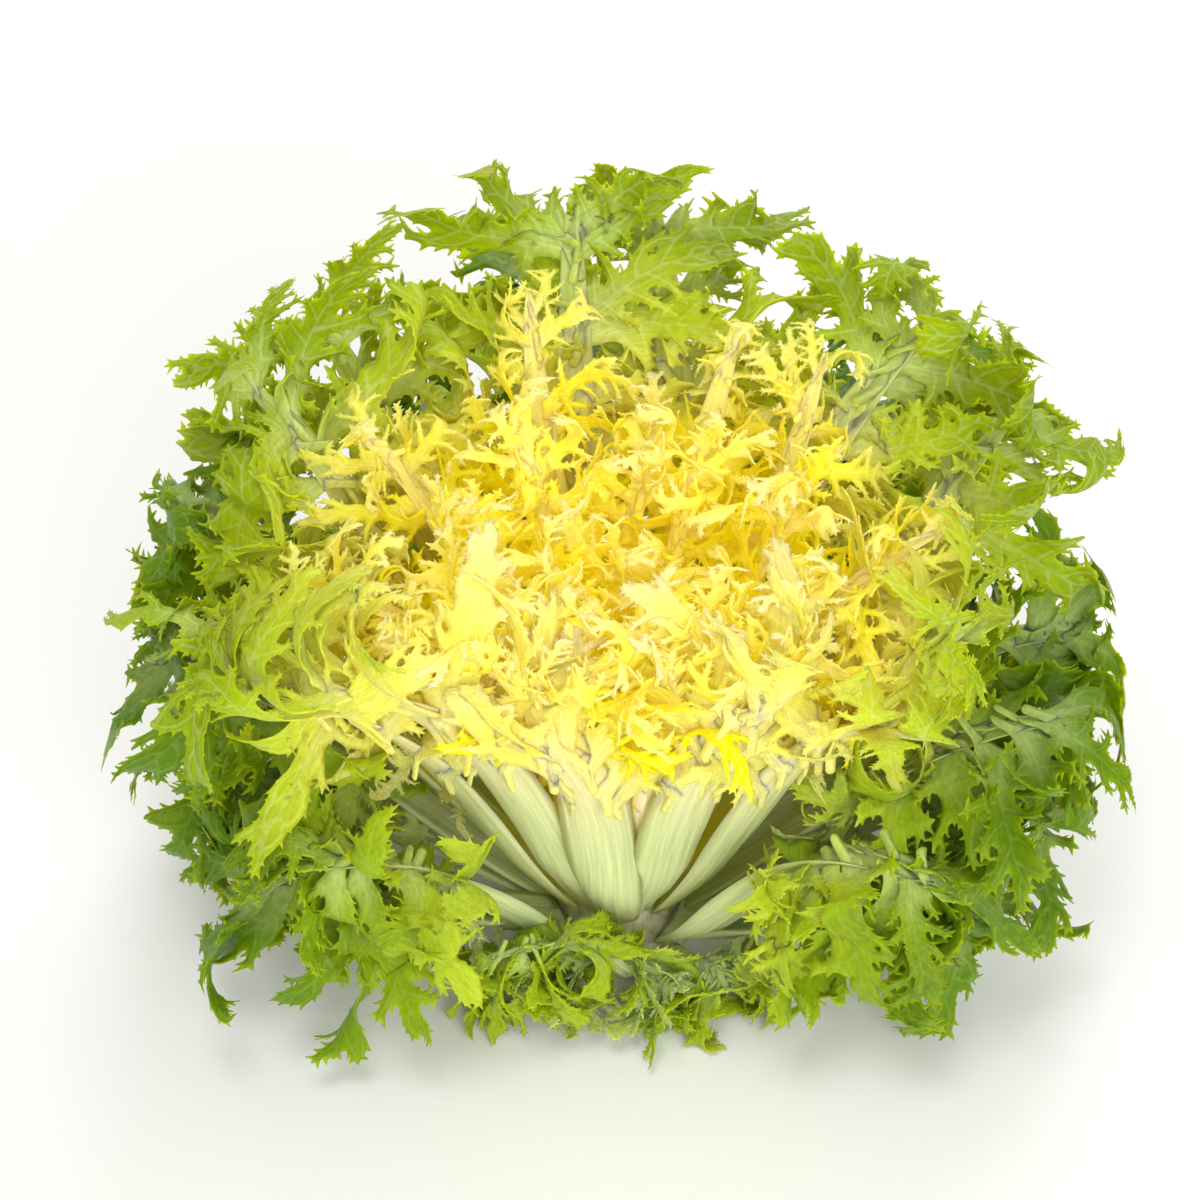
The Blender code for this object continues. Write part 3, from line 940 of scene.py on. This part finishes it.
FORMS_PER_SHAPE = 8
FORMS = {}
CELL_FILL = 0.98
COLUMN_SHARE = 0.8


def forms_for(shape):
    """The forms of this shape, drawn once."""
    if shape not in FORMS:
        FORMS[shape] = [form_of(shape, seed) for seed in range(FORMS_PER_SHAPE)]
    return FORMS[shape]


def add_leaf(node, style, finish, seed):
    """The real leaf that stands for a CAD leaf."""
    rng = np.random.default_rng(seed)
    rib = rib_of(node, style, rng)
    lobes = grow(rib, style.shape, style.growth, rng)
    forms = forms_for(style.shape)
    count = len(lobes.size)
    kind = rng.integers(0, len(forms), count)
    columns = math.ceil(math.sqrt(2 * count) * COLUMN_SHARE)
    rows = math.ceil(2 * count / columns)
    cell_size = np.array((1 / columns, (1 - RIB_BAND) / rows)) * CELL_FILL
    cell = np.arange(2 * count)
    corners = np.stack([cell % columns / columns, RIB_BAND + (1 - RIB_BAND) * (cell // columns) / rows], -1)
    skins = [rib_skin(rib)]
    for number, form in enumerate(forms):
        which = np.flatnonzero(kind == number)
        if len(which):
            cells = (corners[2 * which], corners[2 * which + 1])
            skins.append(lobe_skins(form, lobes, which, style, cell_size, cells, rng))
    skin = joined(skins)
    reach = np.linalg.norm(rib.points, axis=1).max() + REACH_SLACK
    made = add_mesh(node + "_blade", skin, tinted(style, skin), reach)
    made.data.materials.append(finish)
    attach(made, "root")
    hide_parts(node)


# ---------------------------------------------------------------- materials

def new_material(name):
    """A material, its nodes and links, and its shader."""
    made = bpy.data.materials.new(name)
    made.use_nodes = True
    return made, made.node_tree.nodes, made.node_tree.links, made.node_tree.nodes["Principled BSDF"]


# The blanched leaves pass light on to each other: a faint warm glow stands for what comes through them all.
GLOW_COLOUR = (1.0, 0.72, 0.0)
GLOWS = {"middle_leaf": 0.03, "inner_leaf": 0.10, "heart_leaf": 0.13, "bud_leaf": 0.13}
VEIN_SHARE = 0.14


def leaf_material(name, vein_colour, glow):
    """A thin, moist leaf: the mesh's own tint with paler veins and fine fibres, lit through a little."""
    made, nodes, links, shader = new_material(name)
    tint, grain, vein = (nodes.new("ShaderNodeAttribute") for _ in range(3))
    tint.attribute_name, grain.attribute_name, vein.attribute_name = "tint", "grain", "vein"
    stretch = nodes.new("ShaderNodeMapping")
    stretch.inputs["Scale"].default_value = (0.26, 1.1, 1.0)
    links.new(grain.outputs["Vector"], stretch.inputs["Vector"])
    fibre = nodes.new("ShaderNodeTexNoise")
    fibre.inputs["Scale"].default_value = 1.0
    fibre.inputs["Detail"].default_value = 3.0
    links.new(stretch.outputs["Vector"], fibre.inputs["Vector"])
    ramp = nodes.new("ShaderNodeMapRange")
    ramp.inputs["From Min"].default_value = 0.3
    ramp.inputs["From Max"].default_value = 0.7
    ramp.inputs["To Min"].default_value = 0.86
    ramp.inputs["To Max"].default_value = 1.14
    links.new(fibre.outputs["Fac"], ramp.inputs["Value"])
    shade = nodes.new("ShaderNodeVectorMath")
    shade.operation = "SCALE"
    links.new(tint.outputs["Color"], shade.inputs[0])
    links.new(ramp.outputs["Result"], shade.inputs["Scale"])
    pale = nodes.new("ShaderNodeMapRange")
    pale.interpolation_type = "SMOOTHSTEP"
    pale.inputs["From Min"].default_value = 0.10
    pale.inputs["From Max"].default_value = 0.50
    pale.inputs["To Min"].default_value = VEIN_SHARE
    pale.inputs["To Max"].default_value = 0.0
    links.new(vein.outputs["Fac"], pale.inputs["Value"])
    veined = nodes.new("ShaderNodeMix")
    veined.data_type = "RGBA"
    veined.inputs["B"].default_value = (*vein_colour, 1)
    links.new(pale.outputs["Result"], veined.inputs["Factor"])
    links.new(shade.outputs["Vector"], veined.inputs["A"])
    links.new(veined.outputs["Result"], shader.inputs["Base Color"])
    bump = nodes.new("ShaderNodeBump")
    bump.inputs["Strength"].default_value = 0.6
    bump.inputs["Distance"].default_value = 0.3 * MM
    links.new(fibre.outputs["Fac"], bump.inputs["Height"])
    pucker = nodes.new("ShaderNodeTexNoise")
    pucker.inputs["Scale"].default_value = 0.35
    pucker.inputs["Detail"].default_value = 1.0
    links.new(grain.outputs["Vector"], pucker.inputs["Vector"])
    quilt = nodes.new("ShaderNodeBump")
    quilt.inputs["Strength"].default_value = 0.6
    quilt.inputs["Distance"].default_value = 1.2 * MM
    links.new(pucker.outputs["Fac"], quilt.inputs["Height"])
    links.new(bump.outputs["Normal"], quilt.inputs["Normal"])
    links.new(quilt.outputs["Normal"], shader.inputs["Normal"])
    shader.inputs["Roughness"].default_value = 0.42
    shader.inputs["Specular IOR Level"].default_value = 0.16
    shader.inputs["Emission Color"].default_value = (*GLOW_COLOUR, 1)
    shader.inputs["Emission Strength"].default_value = glow
    shader.inputs["Subsurface Weight"].default_value = 0.85
    shader.inputs["Subsurface Radius"].default_value = (1.0, 0.9, 0.25)
    shader.inputs["Subsurface Scale"].default_value = 3.0 * MM
    return made


def stem_material():
    """The pale flesh of the stem, mottled with brown."""
    made, nodes, links, shader = new_material("stem_flesh")
    where = nodes.new("ShaderNodeTexCoord")
    mottle = nodes.new("ShaderNodeTexNoise")
    mottle.inputs["Scale"].default_value = 260
    mottle.inputs["Detail"].default_value = 4
    links.new(where.outputs["Object"], mottle.inputs["Vector"])
    ramp = nodes.new("ShaderNodeValToRGB")
    ramp.color_ramp.elements[0].color = (0.42, 0.34, 0.16, 1)
    ramp.color_ramp.elements[0].position = 0.25
    ramp.color_ramp.elements[1].color = (0.78, 0.78, 0.55, 1)
    ramp.color_ramp.elements[1].position = 0.60
    links.new(mottle.outputs["Fac"], ramp.inputs["Fac"])
    links.new(ramp.outputs["Color"], shader.inputs["Base Color"])
    shader.inputs["Roughness"].default_value = 0.55
    return made


# ---------------------------------------------------------------- stage

CAMERA_ELEVATION = math.radians(40)
CAMERA_DISTANCE = 1.02
CAMERA_SHIFT = -0.016
CAMERA_LENS = 100

FLOOR_SIZE = 12
FLOOR_COLOUR = (0.93, 0.93, 0.93, 1)
WORLD_COLOUR = (1, 0.995, 0.92, 1)
WORLD_STRENGTH = 0.57

# Name, place, side in metres, power in watts.
LIGHTS = (
    ("key_light", (-0.2, -0.5, 1.6), 0.6, 7),
    ("fill_light", (0.4, -1.4, 0.8), 1.0, 16),
    ("back_light", (0.3, 1.2, 1.2), 1.0, 10),
)


def add_stage():
    """Floor, soft light and camera."""
    bpy.ops.mesh.primitive_plane_add(size=FLOOR_SIZE)
    floor = bpy.context.object
    floor.name = "floor"
    made, _, _, shader = new_material("floor_paint")
    shader.inputs["Base Color"].default_value = FLOOR_COLOUR
    shader.inputs["Roughness"].default_value = 0.9
    floor.data.materials.append(made)

    world = bpy.data.worlds.new("studio")
    bpy.context.scene.world = world
    world.use_nodes = True
    world.node_tree.nodes["Background"].inputs["Color"].default_value = WORLD_COLOUR
    world.node_tree.nodes["Background"].inputs["Strength"].default_value = WORLD_STRENGTH

    low, high = (Vector(corner) for corner in CAD_BOX)
    middle = (low + high) / 2
    for name, place, size, power in LIGHTS:
        light = bpy.data.lights.new(name, "AREA")
        light.size = size
        light.energy = power
        lamp = bpy.data.objects.new(name, light)
        lamp.location = place
        lamp.rotation_euler = (middle - Vector(place)).to_track_quat("-Z", "Y").to_euler()
        bpy.context.scene.collection.objects.link(lamp)

    camera = bpy.data.objects.new("camera", bpy.data.cameras.new("camera"))
    camera.data.lens = CAMERA_LENS
    camera.data.shift_x = CAMERA_SHIFT
    offset = Vector((0, -math.cos(CAMERA_ELEVATION), math.sin(CAMERA_ELEVATION))) * CAMERA_DISTANCE
    camera.location = middle + offset
    camera.rotation_euler = (-offset).to_track_quat("-Z", "Y").to_euler()
    bpy.context.scene.collection.objects.link(camera)
    bpy.context.scene.camera = camera
    bpy.context.scene.view_settings.view_transform = "Standard"


def main():
    """The stage, the stem in its own flesh, and a real leaf in place of each CAD leaf."""
    add_stage()
    finishes = {}
    for slot, style in STYLES.items():
        vein_colour = VEIN_GREEN if style.shape is GREEN_SHAPE else CREAM
        finishes[slot] = leaf_material(slot + "_flesh", vein_colour, GLOWS.get(slot, 0))
    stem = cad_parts["stem_core"]
    stem.data.materials.clear()
    stem.data.materials.append(stem_material())
    for seed, node in enumerate(sorted(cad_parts)):
        ring = node.rsplit("_", 1)[0]
        if ring in STYLES:
            add_leaf(node, SPECIAL_LEAVES.get(node, STYLES[ring]), finishes[ring], seed)


main()
